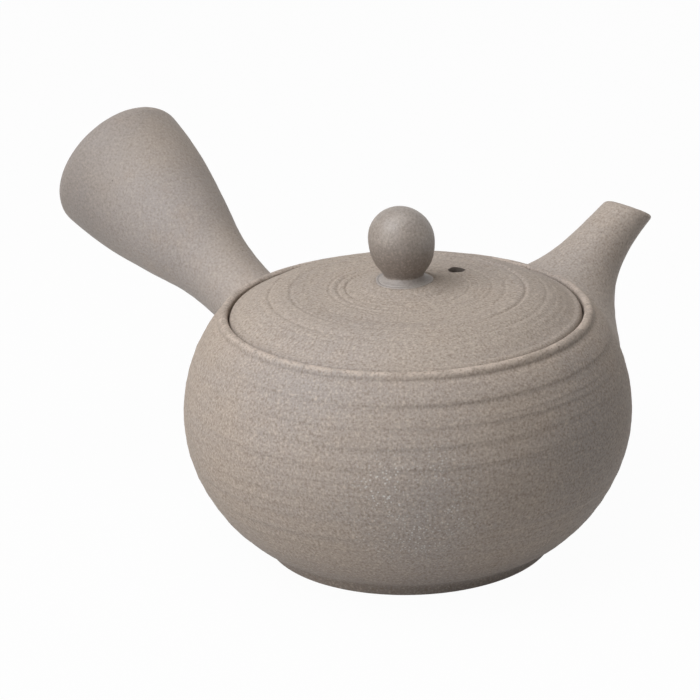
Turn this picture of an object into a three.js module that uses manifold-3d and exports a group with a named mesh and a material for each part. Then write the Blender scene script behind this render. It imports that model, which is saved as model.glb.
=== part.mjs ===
// A side-handled Japanese teapot (kyusu) in unglazed grey-brown stoneware.
// Millimetres, +Z up. The origin is the middle of the foot's underside.
// The spout points along +X and the hollow handle along +Y, as on a pot for the right hand.
// The pot is thrown on a wheel, and spout, handle, strainer and knob are made apart and luted on
// with slip, so each of them is a solid of its own that stands LUTE off the clay that carries it.
import * as THREE from "three";
import { mergeVertices } from "three/addons/utils/BufferGeometryUtils.js";
import Module from "manifold-3d";

const wasm = await Module();
wasm.setup();

// Pot: the belly is an ellipse in section, standing on a low trimmed foot
const BELLY_R = 59.7;
const BELLY_Z = 37.6;
const BELLY_CURVE_R = 51.5;
const BELLY_CURVE_H = 44;
const FOOT_R = 38.4;
const FOOT_FLARE = 1.9;
const FOOT_H = 3.5;
const FOOT_CHAMFER = 0.8;
const WALL = 3.6;
const FLOOR = 5.5;

// Mouth: a rolled rim with a ledge inside it that the lid sits on
const RIM_TOP = 65;
const RIM_INNER_R = 46.75;
const RIM_OUTER_R = 50.1;
const RIM_H = 1.8;
const LEDGE_DEPTH = 3.5;
const LEDGE_INNER_R = 42.25;
const LEDGE_T = 3;

// Lid: a shallow dome with a round shoulder and a locating flange under it. The heights of its
// upper face over its edge are given at even steps from the middle to the edge.
const LID_GAP = 0.45;
const LID_SUNK = 0.4;
const LID_HEIGHTS = [8.6, 9, 7, 6.7, 6.2, 5.75, 3.6, 0];
const LID_T = 3.75;
const LID_SEAT_R = 8.3;
const FLANGE_GAP = 0.6;
const FLANGE_T = 3;
const FLANGE_DEPTH = 5.5;
const VENT_R = 2.2;
const VENT_X = 19.2;

// Knob: a ball drawn in to a short neck, with a smoothed ring of slip round its foot
const KNOB_R = 8.7;
const KNOB_H = 19.85;
const KNOB_NECK_R = 5.3;
const KNOB_NECK_H = 1.5;
const RING_R = 7.9;
const RING_H = 1.5;

// Spout: a bell-rooted tube on a curve in the XZ plane, over a port in the pot's wall.
// Its half widths and half heights are given at even steps from the root to the mouth.
const SPOUT_ROOT = [48.5, 44];
const SPOUT_ROOT_RISE = 20;
const SPOUT_ROOT_REACH = 14.5;
const SPOUT_BEND = [68.9, 62.4];
const SPOUT_TIP = [88.3, 72.4];
const SPOUT_WIDTHS = [31, 24, 15.6, 9.8, 7.5, 7.1];
const SPOUT_HEIGHTS = [21, 17.4, 13.5, 9.8, 7.4, 6.4];
const SPOUT_WALL = 2.4;
const SPOUT_MOUTH_TILT = 34;
const PORT_R = 11;
const PORT_Z = 45;

// Strainer: a pierced clay dome over the port, inside the pot
const STRAINER_R = 15;
const STRAINER_RISE = 9;
const STRAINER_T = 2.2;
const STRAINER_HOLE_R = 1.1;
const STRAINER_RINGS = 3;
const STRAINER_PITCH = 3.4;

// Handle: a hollow horn in the YZ plane, its open end rolled inwards
const HANDLE_START = [50, 46.1];
const HANDLE_RISE = 27.4;
const HANDLE_L = 74.5;
const HANDLE_RADII = [13.2, 9.7, 10.9, 15, 18.75, 20.8];
const HANDLE_WALL = 3.2;
const HANDLE_LIP_DEPTH = 6.5;
const HANDLE_MOUTH_R = 11.5;

const LUTE = 0.3;
const CLAY = { color: 0xa0968c, roughness: 0.9, metalness: 0 };
const PALE_SLIP = { color: 0xaaa5a3, roughness: 0.85, metalness: 0 };

const POT_SIDES = 54;
const LIMB_SIDES = 26;
const KNOB_SIDES = 26;
const ARC_STEPS = 6;

// The mouth's levels all follow the rim
const RIM_BASE_Z = RIM_TOP - RIM_H;
const LEDGE_Z = RIM_TOP - LEDGE_DEPTH;
const LID_EDGE_R = RIM_INNER_R - LID_GAP;

// The lid's upper face rises a little to a flat in the middle, where the knob sits
const lidHeight = sizeAlong(LID_HEIGHTS);
const crown = (r) => RIM_TOP - LID_SUNK + lidHeight(r / LID_EDGE_R);
const SEAT_Z = crown(LID_SEAT_R);

const degrees = (angle) => (angle * Math.PI) / 180;

// A closed mesh as a solid that can be cut and joined
function solidFrom(geometry) {
  const bare = geometry.clone();
  bare.deleteAttribute("normal");
  bare.deleteAttribute("uv");
  const merged = mergeVertices(bare, 1e-4);
  const vertProperties = new Float32Array(merged.attributes.position.array);
  const triVerts = new Uint32Array(merged.index.array);
  return new wasm.Manifold(new wasm.Mesh({ numProp: 3, vertProperties, triVerts }));
}

function geometryFrom(solid) {
  const mesh = solid.getMesh();
  const geometry = new THREE.BufferGeometry();
  geometry.setAttribute("position", new THREE.BufferAttribute(new Float32Array(mesh.vertProperties), 3));
  geometry.setIndex(new THREE.BufferAttribute(new Uint32Array(mesh.triVerts), 1));
  geometry.computeVertexNormals();
  return geometry;
}

// A profile of [r, z] points turned about the Z axis
function turned(profile, sides = POT_SIDES) {
  const points = profile.map(([r, z]) => new THREE.Vector2(r, z));
  points.push(points[0].clone());
  return new THREE.LatheGeometry(points, sides).rotateX(Math.PI / 2);
}

// Points of a quarter or other arc of an ellipse in section, from one angle to another
function arc(r, z, width, height, from, to, steps = ARC_STEPS) {
  return Array.from({ length: steps + 1 }, (_, i) => {
    const a = degrees(from + ((to - from) * i) / steps);
    return [r + width * Math.cos(a), z + height * Math.sin(a)];
  });
}

// The pot's wall is the belly's ellipse, moved inwards by depth
function bellyRadius(z, depth = 0) {
  const share = (z - BELLY_Z) / (BELLY_CURVE_H - depth);
  return BELLY_R - BELLY_CURVE_R + (BELLY_CURVE_R - depth) * Math.sqrt(Math.max(0, 1 - share * share));
}

function bellyLine(fromZ, toZ, depth, steps) {
  return Array.from({ length: steps + 1 }, (_, i) => {
    const z = fromZ + ((toZ - fromZ) * i) / steps;
    return [bellyRadius(z, depth), z];
  });
}

// From the middle of the foot up the belly and over the rolled rim, as far as an angle of the roll
function potOutline(rollTo) {
  const beadR = (RIM_OUTER_R - RIM_INNER_R) / 2;
  const beadMiddle = (RIM_OUTER_R + RIM_INNER_R) / 2;
  const beadH = RIM_TOP - RIM_BASE_Z;
  return [
    [0, 0],
    [FOOT_R - FOOT_CHAMFER, 0],
    [FOOT_R, FOOT_CHAMFER],
    [FOOT_R + FOOT_FLARE, FOOT_H],
    ...bellyLine(FOOT_H + 0.4, RIM_BASE_Z - 0.3, 0, 13),
    ...arc(beadMiddle, RIM_BASE_Z, beadR, beadH, 0, rollTo, rollTo / 30),
  ];
}

function makePot() {
  const inside = bellyLine(LEDGE_Z - LEDGE_T - 1.5, FLOOR + 2, WALL, 8);
  const profile = [
    ...potOutline(180),
    [RIM_INNER_R, LEDGE_Z],
    [LEDGE_INNER_R, LEDGE_Z],
    [LEDGE_INNER_R, LEDGE_Z - LEDGE_T],
    ...inside,
    [inside[inside.length - 1][0] - 5, FLOOR],
    [0, FLOOR],
  ];
  const port = new THREE.CylinderGeometry(PORT_R, PORT_R, 3 * WALL, LIMB_SIDES)
    .rotateZ(Math.PI / 2)
    .translate(bellyRadius(PORT_Z) - WALL / 2, 0, PORT_Z);
  return solidFrom(turned(profile)).subtract(solidFrom(port));
}

// The pot with its hollow filled, grown by the luting gap, to cut the limbs to its skin
function potBlank() {
  const skin = potOutline(90).map(([r, z]) => [r + (r > 0 ? LUTE : 0), z]);
  return solidFrom(turned([...skin, [0, RIM_TOP]]));
}

// A closed tube through a loop of oval rings, each with its centre, half width, half height and
// the slope of its axis, in the plane that holds the Z axis: x is the way out from the pot
function ringTube(rings) {
  const positions = [];
  rings.forEach(({ x, z, width, height, slope }) => {
    for (let i = 0; i < LIMB_SIDES; i++) {
      const a = (2 * Math.PI * i) / LIMB_SIDES;
      const up = height * Math.cos(a);
      positions.push(x - up * Math.sin(slope), width * Math.sin(a), z + up * Math.cos(slope));
    }
  });
  const index = [];
  rings.forEach((_, k) => {
    const here = k * LIMB_SIDES;
    const next = ((k + 1) % rings.length) * LIMB_SIDES;
    for (let i = 0; i < LIMB_SIDES; i++) {
      const j = (i + 1) % LIMB_SIDES;
      index.push(here + i, next + j, here + j, here + i, next + i, next + j);
    }
  });
  const geometry = new THREE.BufferGeometry();
  geometry.setAttribute("position", new THREE.Float32BufferAttribute(positions, 3));
  geometry.setIndex(index);
  return solidFrom(geometry);
}

// A smooth size along a limb, through values at even steps
function sizeAlong(values) {
  const curve = new THREE.SplineCurve(values.map((r, i) => new THREE.Vector2(i, r)));
  return (t) => curve.getPoint(t).y;
}

function makeSpout(blank) {
  const rise = degrees(SPOUT_ROOT_RISE);
  const path = new THREE.CubicBezierCurve(
    new THREE.Vector2(...SPOUT_ROOT),
    new THREE.Vector2(Math.cos(rise), Math.sin(rise)).multiplyScalar(SPOUT_ROOT_REACH)
      .add(new THREE.Vector2(...SPOUT_ROOT)),
    new THREE.Vector2(...SPOUT_BEND),
    new THREE.Vector2(...SPOUT_TIP),
  );
  const width = sizeAlong(SPOUT_WIDTHS);
  const height = sizeAlong(SPOUT_HEIGHTS);
  const steps = 16;
  // The last two fifths lean back, so that the mouth faces upwards
  const ring = (i, inset) => {
    const t = i / steps;
    const centre = path.getPoint(t);
    const lean = degrees(SPOUT_MOUTH_TILT) * (Math.max(0, t - 0.6) / 0.4) ** 2;
    const slope = path.getTangent(t).angle() + lean;
    return { x: centre.x, z: centre.y, width: width(t) - inset, height: height(t) - inset, slope };
  };
  const outer = Array.from({ length: steps }, (_, i) => ring(i, 0));
  const lip = [0.5, SPOUT_WALL - 0.5].map((inset) => ring(steps, inset));
  const bore = Array.from({ length: steps }, (_, i) => ring(steps - 1 - i, SPOUT_WALL));
  return ringTube([...outer, ...lip, ...bore]).subtract(blank);
}

function makeHandle(blank) {
  const radius = sizeAlong(HANDLE_RADII);
  const slope = degrees(HANDLE_RISE);
  const steps = 13;
  const ring = (s, r) => ({
    x: HANDLE_START[0] + s * Math.cos(slope),
    z: HANDLE_START[1] + s * Math.sin(slope),
    width: r,
    height: r,
    slope,
  });
  const endR = radius(1);
  const outer = Array.from({ length: steps + 1 }, (_, i) =>
    ring((HANDLE_L * i) / steps, radius(i / steps)));
  // The end is rolled inwards to the mouth, outside and inside
  const lip = arc(HANDLE_MOUTH_R, HANDLE_L, endR - HANDLE_MOUTH_R, HANDLE_LIP_DEPTH, 0, 90)
    .slice(1).map(([r, s]) => ring(s, r));
  const back = arc(HANDLE_MOUTH_R, HANDLE_L, endR - HANDLE_WALL - HANDLE_MOUTH_R,
    HANDLE_LIP_DEPTH - HANDLE_WALL, 90, 0).map(([r, s]) => ring(s, r));
  const bore = Array.from({ length: steps }, (_, i) => {
    const t = 1 - (i + 1) / steps;
    return ring(HANDLE_L * t, radius(t) - HANDLE_WALL);
  });
  return ringTube([...outer, ...lip, ...back, ...bore]).subtract(blank);
}

// The dome is made about the Z axis, then turned to look in from the pot's wall at the port
function makeStrainer() {
  const sphereR = (STRAINER_R * STRAINER_R + STRAINER_RISE * STRAINER_RISE) / (2 * STRAINER_RISE);
  const sphereZ = STRAINER_RISE - sphereR;
  const open = (Math.acos(STRAINER_R / sphereR) * 180) / Math.PI;
  const innerR = sphereR - STRAINER_T;
  const skirt = 6;
  let dome = solidFrom(turned([
    [STRAINER_R, -skirt],
    ...arc(0, sphereZ, sphereR, sphereR, open, 90, 4),
    ...arc(0, sphereZ, innerR, innerR, 90, open, 4),
    [STRAINER_R - STRAINER_T, -skirt],
  ], 24));
  const punch = (angle, lean) => solidFrom(
    new THREE.CylinderGeometry(STRAINER_HOLE_R, STRAINER_HOLE_R, 3 * STRAINER_T, 6)
      .rotateX(Math.PI / 2).translate(0, 0, sphereR - STRAINER_T / 2)
      .rotateY(lean).rotateZ(angle).translate(0, 0, sphereZ),
  );
  const pins = [punch(0, 0)];
  for (let n = 1; n <= STRAINER_RINGS; n++) {
    for (let i = 0; i < 6 * n; i++) {
      pins.push(punch((2 * Math.PI * (i + (n % 2) / 2)) / (6 * n), (n * STRAINER_PITCH) / sphereR));
    }
  }
  dome = dome.subtract(wasm.Manifold.union(pins));
  const wallR = bellyRadius(PORT_Z, WALL);
  const hollow = solidFrom(turned([
    ...bellyLine(FLOOR + 2, LEDGE_Z - LEDGE_T - 1.5, WALL + LUTE, 10),
    [0, LEDGE_Z - LEDGE_T - 1.5],
    [0, FLOOR + 2],
  ], 3 * KNOB_SIDES));
  const placed = solidFrom(geometryFrom(dome).rotateY(-Math.PI / 2).translate(wallR - 3, 0, PORT_Z));
  return placed.intersect(hollow);
}

function makeLid() {
  const edgeR = LID_EDGE_R;
  const dome = (drop, toR, steps) => Array.from({ length: steps + 1 }, (_, i) => {
    const r = LID_SEAT_R + ((toR - LID_SEAT_R) * i) / steps;
    return [r, crown(r) - drop];
  });
  const flangeR = LEDGE_INNER_R - FLANGE_GAP;
  const profile = [
    [0, SEAT_Z - LID_T],
    ...dome(LID_T, flangeR - FLANGE_T, 4),
    [flangeR - FLANGE_T, LEDGE_Z - FLANGE_DEPTH],
    [flangeR, LEDGE_Z - FLANGE_DEPTH],
    [flangeR, LEDGE_Z],
    [edgeR - 0.5, LEDGE_Z],
    [edgeR, LEDGE_Z + 0.5],
    [edgeR, crown(edgeR) - 0.5],
    ...dome(0, edgeR - 0.5, 9).reverse(),
    [0, SEAT_Z],
  ];
  const vent = new THREE.CylinderGeometry(VENT_R, VENT_R, 4 * LID_T, 16).rotateX(Math.PI / 2)
    .translate(VENT_X, 0, crown(VENT_X));
  return solidFrom(turned(profile)).subtract(solidFrom(vent));
}

function makeKnob() {
  const ballZ = SEAT_Z + KNOB_H - KNOB_R;
  const side = new THREE.CubicBezierCurve(
    new THREE.Vector2(KNOB_NECK_R, SEAT_Z + KNOB_NECK_H),
    new THREE.Vector2(KNOB_NECK_R + 1.6, SEAT_Z + KNOB_NECK_H + 2.2),
    new THREE.Vector2(KNOB_R, ballZ - 5),
    new THREE.Vector2(KNOB_R, ballZ),
  );
  return solidFrom(turned([
    [0, SEAT_Z],
    [KNOB_NECK_R, SEAT_Z],
    ...side.getPoints(7).map((p) => [p.x, p.y]),
    ...arc(0, ballZ, KNOB_R, KNOB_R, 0, 90, 7).slice(1),
  ], KNOB_SIDES));
}

function makeRing() {
  const inner = KNOB_NECK_R + LUTE;
  return solidFrom(turned([
    [inner, SEAT_Z],
    [RING_R, SEAT_Z],
    ...arc(RING_R, SEAT_Z + RING_H, RING_R - inner, RING_H, 270, 180, 5).slice(1),
  ], KNOB_SIDES));
}

function part(name, solid, look) {
  const mesh = new THREE.Mesh(geometryFrom(solid), new THREE.MeshStandardMaterial(look));
  mesh.name = name;
  return mesh;
}

const blank = potBlank();
const pot = new THREE.Group();
pot.add(part("pot_body", makePot(), CLAY));
pot.add(part("spout", makeSpout(blank), CLAY));
pot.add(part("strainer", makeStrainer(), CLAY));
const handle = part("handle", makeHandle(blank), CLAY);
handle.rotation.z = Math.PI / 2;
pot.add(handle);

const lid = new THREE.Group();
lid.add(part("lid", makeLid(), CLAY));
lid.add(part("knob", makeKnob(), CLAY));
lid.add(part("knob_slip_ring", makeRing(), PALE_SLIP));

const kyusu = new THREE.Group();
kyusu.add(pot, lid);
export default kyusu;
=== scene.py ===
import math

import bpy
import numpy as np
from mathutils import Matrix, Vector


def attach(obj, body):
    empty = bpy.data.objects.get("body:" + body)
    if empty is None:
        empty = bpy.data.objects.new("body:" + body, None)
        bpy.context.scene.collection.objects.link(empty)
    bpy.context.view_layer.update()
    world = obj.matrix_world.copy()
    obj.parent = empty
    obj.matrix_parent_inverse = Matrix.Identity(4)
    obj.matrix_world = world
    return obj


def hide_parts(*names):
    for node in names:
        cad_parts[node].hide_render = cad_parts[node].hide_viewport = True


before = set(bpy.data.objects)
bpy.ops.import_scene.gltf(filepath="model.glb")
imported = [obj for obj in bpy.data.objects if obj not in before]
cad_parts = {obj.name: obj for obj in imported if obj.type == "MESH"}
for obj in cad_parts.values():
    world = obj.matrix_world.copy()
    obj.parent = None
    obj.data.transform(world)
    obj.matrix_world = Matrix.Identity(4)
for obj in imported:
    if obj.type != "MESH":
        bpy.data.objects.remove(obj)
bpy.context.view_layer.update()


# Pot body
# The bowl is thrown on a wheel from a gritty grey-brown clay and left unglazed. Its foot is
# trimmed, its rim is rolled over, and a ledge inside the rim takes the lid. The fingers leave
# rings round the belly. Sizes are in millimetres, as a potter writes them.

MM = 0.001
BELLY_R, BELLY_Z = 59.7, 37.6
BELLY_CURVE_R, BELLY_CURVE_H = 51.5, 44.0
BELLY_FOOT_Z, BELLY_TOP_Z = 5.5, 62.0
BELLY_DRAWN_IN = 0.36
POT_WALL = 3.6
FOOT_R, FOOT_EDGE = 38.4, 1.2
RIM_OUTER_R, RIM_INNER_R, RIM_TOP = 49.4, 46.75, 65.3
LEDGE_Z, LEDGE_INNER_R = 61.5, 42.25
FLOOR_Z = 5.5
PORT_R, PORT_Z = 11.0, 45.0
SCORE_DEPTH = 0.034

# Height of each finger ring, how far the clay stands out over it, how far up that fades, how
# soft its lower edge is, and the side of the pot, in degrees from the spout, where it is strongest
FINGER_RINGS = [
    (58.6, 0.74, 2.8, 0.38, -120), (56.6, 0.06, 1.0, 0.20, -150), (54.5, 0.12, 0.9, 0.16, -100),
    (53.1, 0.24, 1.8, 0.25, -135), (51.2, 0.07, 0.7, 0.18, 150), (48.9, 0.16, 2.4, 0.20, -110),
    (48.0, 0.12, 0.8, 0.18, -110), (45.2, 0.06, 0.8, 0.16, 140), (43.9, 0.20, 2.4, 0.20, -130),
    (42.7, 0.11, 0.8, 0.18, -160), (39.2, 0.05, 2.0, 0.18, -170), (38.4, 0.06, 0.8, 0.20, 170),
    (36.5, 0.08, 1.2, 0.18, 140), (34.4, 0.09, 2.2, 0.24, -175), (31.1, 0.12, 1.6, 0.20, 170),
    (28.5, 0.12, 1.6, 0.20, 120), (25.7, 0.06, 1.4, 0.20, -90), (22.9, 0.24, 2.4, 0.22, -110),
    (19.1, 0.25, 2.0, 0.20, -150), (16.0, 0.18, 1.6, 0.20, -120), (12.6, 0.20, 1.4, 0.20, -150),
    (9.8, 0.28, 1.8, 0.22, -165),
]


def lumps(points, size, seed):
    """Smooth unevenness between -1 and 1 at points in millimetres, with lumps about size across."""
    lattice = np.random.default_rng(seed).uniform(-1, 1, (32, 32, 32))
    cell = np.floor(points / size).astype(int)
    part = points / size - cell
    part = part * part * (3 - 2 * part)
    total = np.zeros(points.shape[:-1])
    for corner in np.ndindex(2, 2, 2):
        share = np.prod(np.where(np.array(corner) == 1, part, 1 - part), axis=-1)
        at = (cell + corner) % 32
        total += share * lattice[at[..., 0], at[..., 1], at[..., 2]]
    return total


def belly_radius(height, depth=0.0):
    """The radius of the belly's smooth curve, or of the wall at a depth inside it."""
    share = (height - BELLY_Z) / (BELLY_CURVE_H - depth)
    reach = np.sqrt(np.clip(1 - share * share, 0, 1))
    return BELLY_R - BELLY_CURVE_R + (BELLY_CURVE_R - depth) * reach


def finger_marks(height, angle):
    """How far the thrown rings stand out from the belly's smooth curve. A ring wanders up and
    down a little, and it is strongest on its own side but never quite gone on the other."""
    out = np.zeros(np.broadcast(height, angle).shape)
    for n, (ring, stand, fade, edge, side) in enumerate(FINGER_RINGS):
        line = ring + 0.3 * np.sin(angle + 1.7 * n) + 0.12 * np.sin(3 * angle + 2.3 * n)
        strength = stand * np.maximum(0.42, 0.6 + 0.4 * np.cos(angle - math.radians(side)))
        strength = strength * (1 + 0.2 * np.sin(5 * angle + 1.3 * n))
        up = height - line
        above = np.exp(-np.clip(up, 0, None) / fade)
        below = -0.45 * np.exp(np.clip(up, None, 0) / 0.8)
        step = 1 / (1 + np.exp(-up / edge))
        out = out + strength * (step * above + (1 - step) * below)
    return out


def scored(across, angle, radius, seed):
    """Fine marks that a rib draws as the wheel turns, side by side across the wall."""
    squashed = np.stack(np.broadcast_arrays(
        0.03 * radius * np.cos(angle), 0.03 * radius * np.sin(angle), across), axis=-1)
    return 0.6 * lumps(squashed, 0.75, seed) + lumps(squashed + 7.0, 1.9, seed + 1)


def belly_skin(height, angle):
    """The belly's real outside radius, rings and wobble included."""
    under_rim = BELLY_TOP_Z - height
    over_foot = height - BELLY_FOOT_Z
    fade = np.clip(under_rim / 1.5, 0, 1) * np.clip(over_foot / 2, 0, 1)
    waist = np.clip((under_rim - 1) / 14, 0, 1) * np.clip((over_foot - 0.5) / 14, 0, 1)
    smooth = belly_radius(height)
    at = np.stack(np.broadcast_arrays(
        smooth * np.cos(angle), smooth * np.sin(angle), height), axis=-1)
    rise = finger_marks(height, angle) + 0.1 * lumps(at, size=19.0, seed=4)
    rise = rise + SCORE_DEPTH * scored(height, angle, smooth, seed=6)
    return smooth - BELLY_DRAWN_IN * waist + fade * rise


def facing(grid, closed):
    """The direction that each point of a grid of rows and columns faces."""
    if closed:
        down = np.roll(grid, -1, 0) - np.roll(grid, 1, 0)
    else:
        down = np.gradient(grid, axis=0)
    around = np.roll(grid, -1, 1) - np.roll(grid, 1, 1)
    out = np.cross(around, down)
    return out / np.maximum(np.linalg.norm(out, axis=-1, keepdims=True), 1e-9)


def gritty(grid, closed, seed, coarse=0.045, fine=0.03, keep=None):
    """Raises and sinks the skin a little, as the sand in the clay does."""
    rise = coarse * lumps(grid, 2.3, seed) + fine * lumps(grid, 0.9, seed + 1)
    if keep is not None:
        rise = rise * keep
    return grid + rise[..., None] * facing(grid, closed)


def clay_piece(name, grid, closed):
    """A closed mesh from rows of points in millimetres. Rows join end to end, or end in a point."""
    rows, columns = grid.shape[:2]
    if closed:
        points = grid.reshape(-1, 3)
        row = np.arange(rows)[:, None] * columns
        below = (np.arange(rows)[:, None] + 1) % rows * columns
    else:
        points = np.vstack([grid[:1].mean(1), grid[1:-1].reshape(-1, 3), grid[-1:].mean(1)])
        row = 1 + np.arange(rows - 3)[:, None] * columns
        below = row + columns
    here = np.arange(columns)
    beside = (here + 1) % columns
    quads = np.stack([row + here, row + beside, below + beside, below + here], axis=-1)
    faces = quads.reshape(-1, 4).tolist()
    if not closed:
        last = 1 + (rows - 3) * columns
        faces += [(0, 1 + j, 1 + i) for i, j in zip(here, beside)]
        faces += [(len(points) - 1, last + i, last + j) for i, j in zip(here, beside)]
    mesh = bpy.data.meshes.new(name)
    mesh.from_pydata((points * MM).tolist(), [], faces)
    mesh.validate()
    mesh.update()
    mesh.shade_smooth()
    piece = bpy.data.objects.new(name, mesh)
    bpy.context.scene.collection.objects.link(piece)
    return piece


def bow(middle, across, up, start, end, count):
    """Points of an arc in a profile, in degrees."""
    angle = np.radians(np.linspace(start, end, count))
    return np.stack([middle[0] + across * np.cos(angle), middle[1] + up * np.sin(angle)], axis=-1)


def evenly(profile, spacing):
    """The same line, with its points spaced evenly along it."""
    profile = np.asarray(profile, float)
    steps = np.linalg.norm(np.diff(profile, axis=0), axis=1)
    along = np.concatenate([[0], np.cumsum(steps)])
    count = max(2, int(round(along[-1] / spacing)) + 1)
    marks = np.linspace(0, along[-1], count)
    return np.stack([np.interp(marks, along, profile[:, k]) for k in range(profile.shape[1])], -1)


def turned(profile, columns):
    """A profile of radius and height spun round the middle, and the angle of each column."""
    angle = np.linspace(0, 2 * np.pi, columns, endpoint=False)
    radius, height = profile[:, :1], profile[:, 1:]
    return np.stack([radius * np.cos(angle), radius * np.sin(angle),
                     height + 0 * angle], axis=-1), angle


def cut_through(piece, cutter):
    """Takes the cutter's space out of a piece and removes the cutter."""
    knife = piece.modifiers.new("cut", "BOOLEAN")
    knife.object = cutter
    knife.operation = "DIFFERENCE"
    knife.solver = "EXACT"
    with bpy.context.temp_override(object=piece, active_object=piece):
        bpy.ops.object.modifier_apply(modifier=knife.name)
    bpy.data.objects.remove(cutter)


def peg(name, radius, start, end, sides=40):
    """A plain round cutter between two points, in millimetres."""
    start, end = Vector(start), Vector(end)
    turn = Vector((0, 0, 1)).rotation_difference((end - start).normalized()).to_matrix()
    angle = np.linspace(0, 2 * np.pi, sides, endpoint=False)
    ring = np.stack([radius * np.cos(angle), radius * np.sin(angle), 0 * angle], -1)
    ring = ring @ np.array(turn).T
    way = np.array(end - start)
    grid = np.stack([ring * 0, ring, ring + way, ring * 0 + way])
    return clay_piece(name, grid + np.array(start), closed=False)


def rising(start_r, start_z, steps):
    """Points that set out from a radius and a height, each given by its distance from them."""
    return [(start_r + out, start_z + up) for out, up in steps]


# From the middle of the foot out and up the belly, over the rim to the ledge, and down inside
foot_flare = rising(FOOT_R, 0.0, [(0.3, 1.5), (0.6, 2.3), (1.1, 3.0), (1.8, 3.7), (2.7, 4.4),
                                  (3.9, 5.1), (5.2, 5.8)])
belly_z = np.linspace(BELLY_FOOT_Z + 0.8, BELLY_TOP_Z - 0.1, 285)
belly_line = np.stack([belly_radius(belly_z), belly_z], -1)
rim_hollow = rising(RIM_OUTER_R, RIM_TOP, [(1.35, -3.0), (0.85, -2.65), (0.45, -2.35),
                                           (0.15, -2.05), (0.0, -1.8)])
under_ledge_z = LEDGE_Z - 3.9
inside_z = np.linspace(under_ledge_z - 0.4, FLOOR_Z + 3.1, 70)
inside_line = np.stack([belly_radius(inside_z, POT_WALL), inside_z], -1)
pot_profile = np.vstack([
    evenly([(0.0, 0.0), (FOOT_R - FOOT_EDGE, 0.0)], 2.4),
    bow((FOOT_R - FOOT_EDGE, 1.1), 1.3, 1.1, -80, -5, 6),
    evenly(foot_flare, 0.35),
    belly_line,
    evenly(rim_hollow, 0.2),
    bow((RIM_OUTER_R - 1.45, RIM_TOP - 1.7), 1.42, 1.7, 3, 86, 14),
    bow((RIM_INNER_R + 1.0, RIM_TOP - 0.9), 1.0, 0.9, 88, 180, 8),
    evenly([(RIM_INNER_R, RIM_TOP - 1.3), (RIM_INNER_R, LEDGE_Z + 0.5)], 0.5),
    bow((RIM_INNER_R - 0.45, LEDGE_Z + 0.42), 0.42, 0.42, -20, -90, 4),
    evenly([(RIM_INNER_R - 0.85, LEDGE_Z), (LEDGE_INNER_R + 0.85, LEDGE_Z)], 0.7),
    bow((LEDGE_INNER_R + 0.45, LEDGE_Z - 0.45), 0.45, 0.45, 90, 180, 4),
    evenly([(LEDGE_INNER_R, LEDGE_Z - 0.9), (LEDGE_INNER_R, LEDGE_Z - 2.15)], 0.4),
    bow((LEDGE_INNER_R + 0.95, LEDGE_Z - 2.5), 0.95, 0.8, 180, 262, 4),
    evenly([(LEDGE_INNER_R + 1.75, LEDGE_Z - 3.4),
            (belly_radius(under_ledge_z, POT_WALL), under_ledge_z)], 1.0),
    inside_line,
    evenly([(belly_radius(FLOOR_Z + 2.7, POT_WALL) - 0.8, FLOOR_Z + 1.9),
            (FOOT_R - 3.9, FLOOR_Z + 0.4)], 1.2),
    evenly([(FOOT_R - 5.4, FLOOR_Z + 0.1), (0.0, FLOOR_Z)], 1.6),
])
pot_grid, pot_angle = turned(pot_profile, columns=480)
pot_radius = pot_profile[:, :1]
pot_height = pot_profile[:, 1:]
is_belly = np.zeros((len(pot_profile), 1), bool)
first_belly = int(np.argmax(np.all(pot_profile == belly_line[0], axis=1)))
is_belly[first_belly:first_belly + len(belly_line)] = True

# The fingers' spiral up the wall inside, and its ripples on the floor
is_inside = (np.arange(len(pot_profile)) > first_belly + len(belly_line))[:, None]
floor_edge_z = FLOOR_Z + 2.5
on_floor = is_inside & (pot_height < floor_edge_z)
on_wall = is_inside & (pot_height >= floor_edge_z) & (pot_height < under_ledge_z - 0.6)
pot_out = np.where(is_belly, belly_skin(pot_height, pot_angle), pot_radius + 0 * pot_angle)
pot_out = pot_out + 0.22 * np.sin(pot_angle + pot_height * 2.1) * on_wall
pot_grid[..., 0] = pot_out * np.cos(pot_angle)
pot_grid[..., 1] = pot_out * np.sin(pot_angle)
pot_grid[..., 2] += 0.2 * on_floor * np.sin(pot_radius * 1.5 + pot_angle)

# Less grit where the lid slides, and none under the foot, which stands flat
off_foot = np.clip(pot_height / 1.5, 0, 1) * np.clip(pot_radius / 4, 0, 1) + 0 * pot_angle
at_mouth = (pot_height > LEDGE_Z - 3.5) & (pot_radius < RIM_INNER_R + 0.75)
pot_grid = gritty(pot_grid, closed=False, seed=11, keep=off_foot * (1 - 0.45 * at_mouth))
pot_grid[..., 2] = np.clip(pot_grid[..., 2], 0.0, RIM_TOP)

pot_body = clay_piece("pot_body_clay", pot_grid, closed=False)
wall_x = float(belly_radius(PORT_Z))
cut_through(pot_body, peg("port_cutter", PORT_R, (wall_x - 9, 0, PORT_Z), (wall_x + 5, 0, PORT_Z)))


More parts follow.
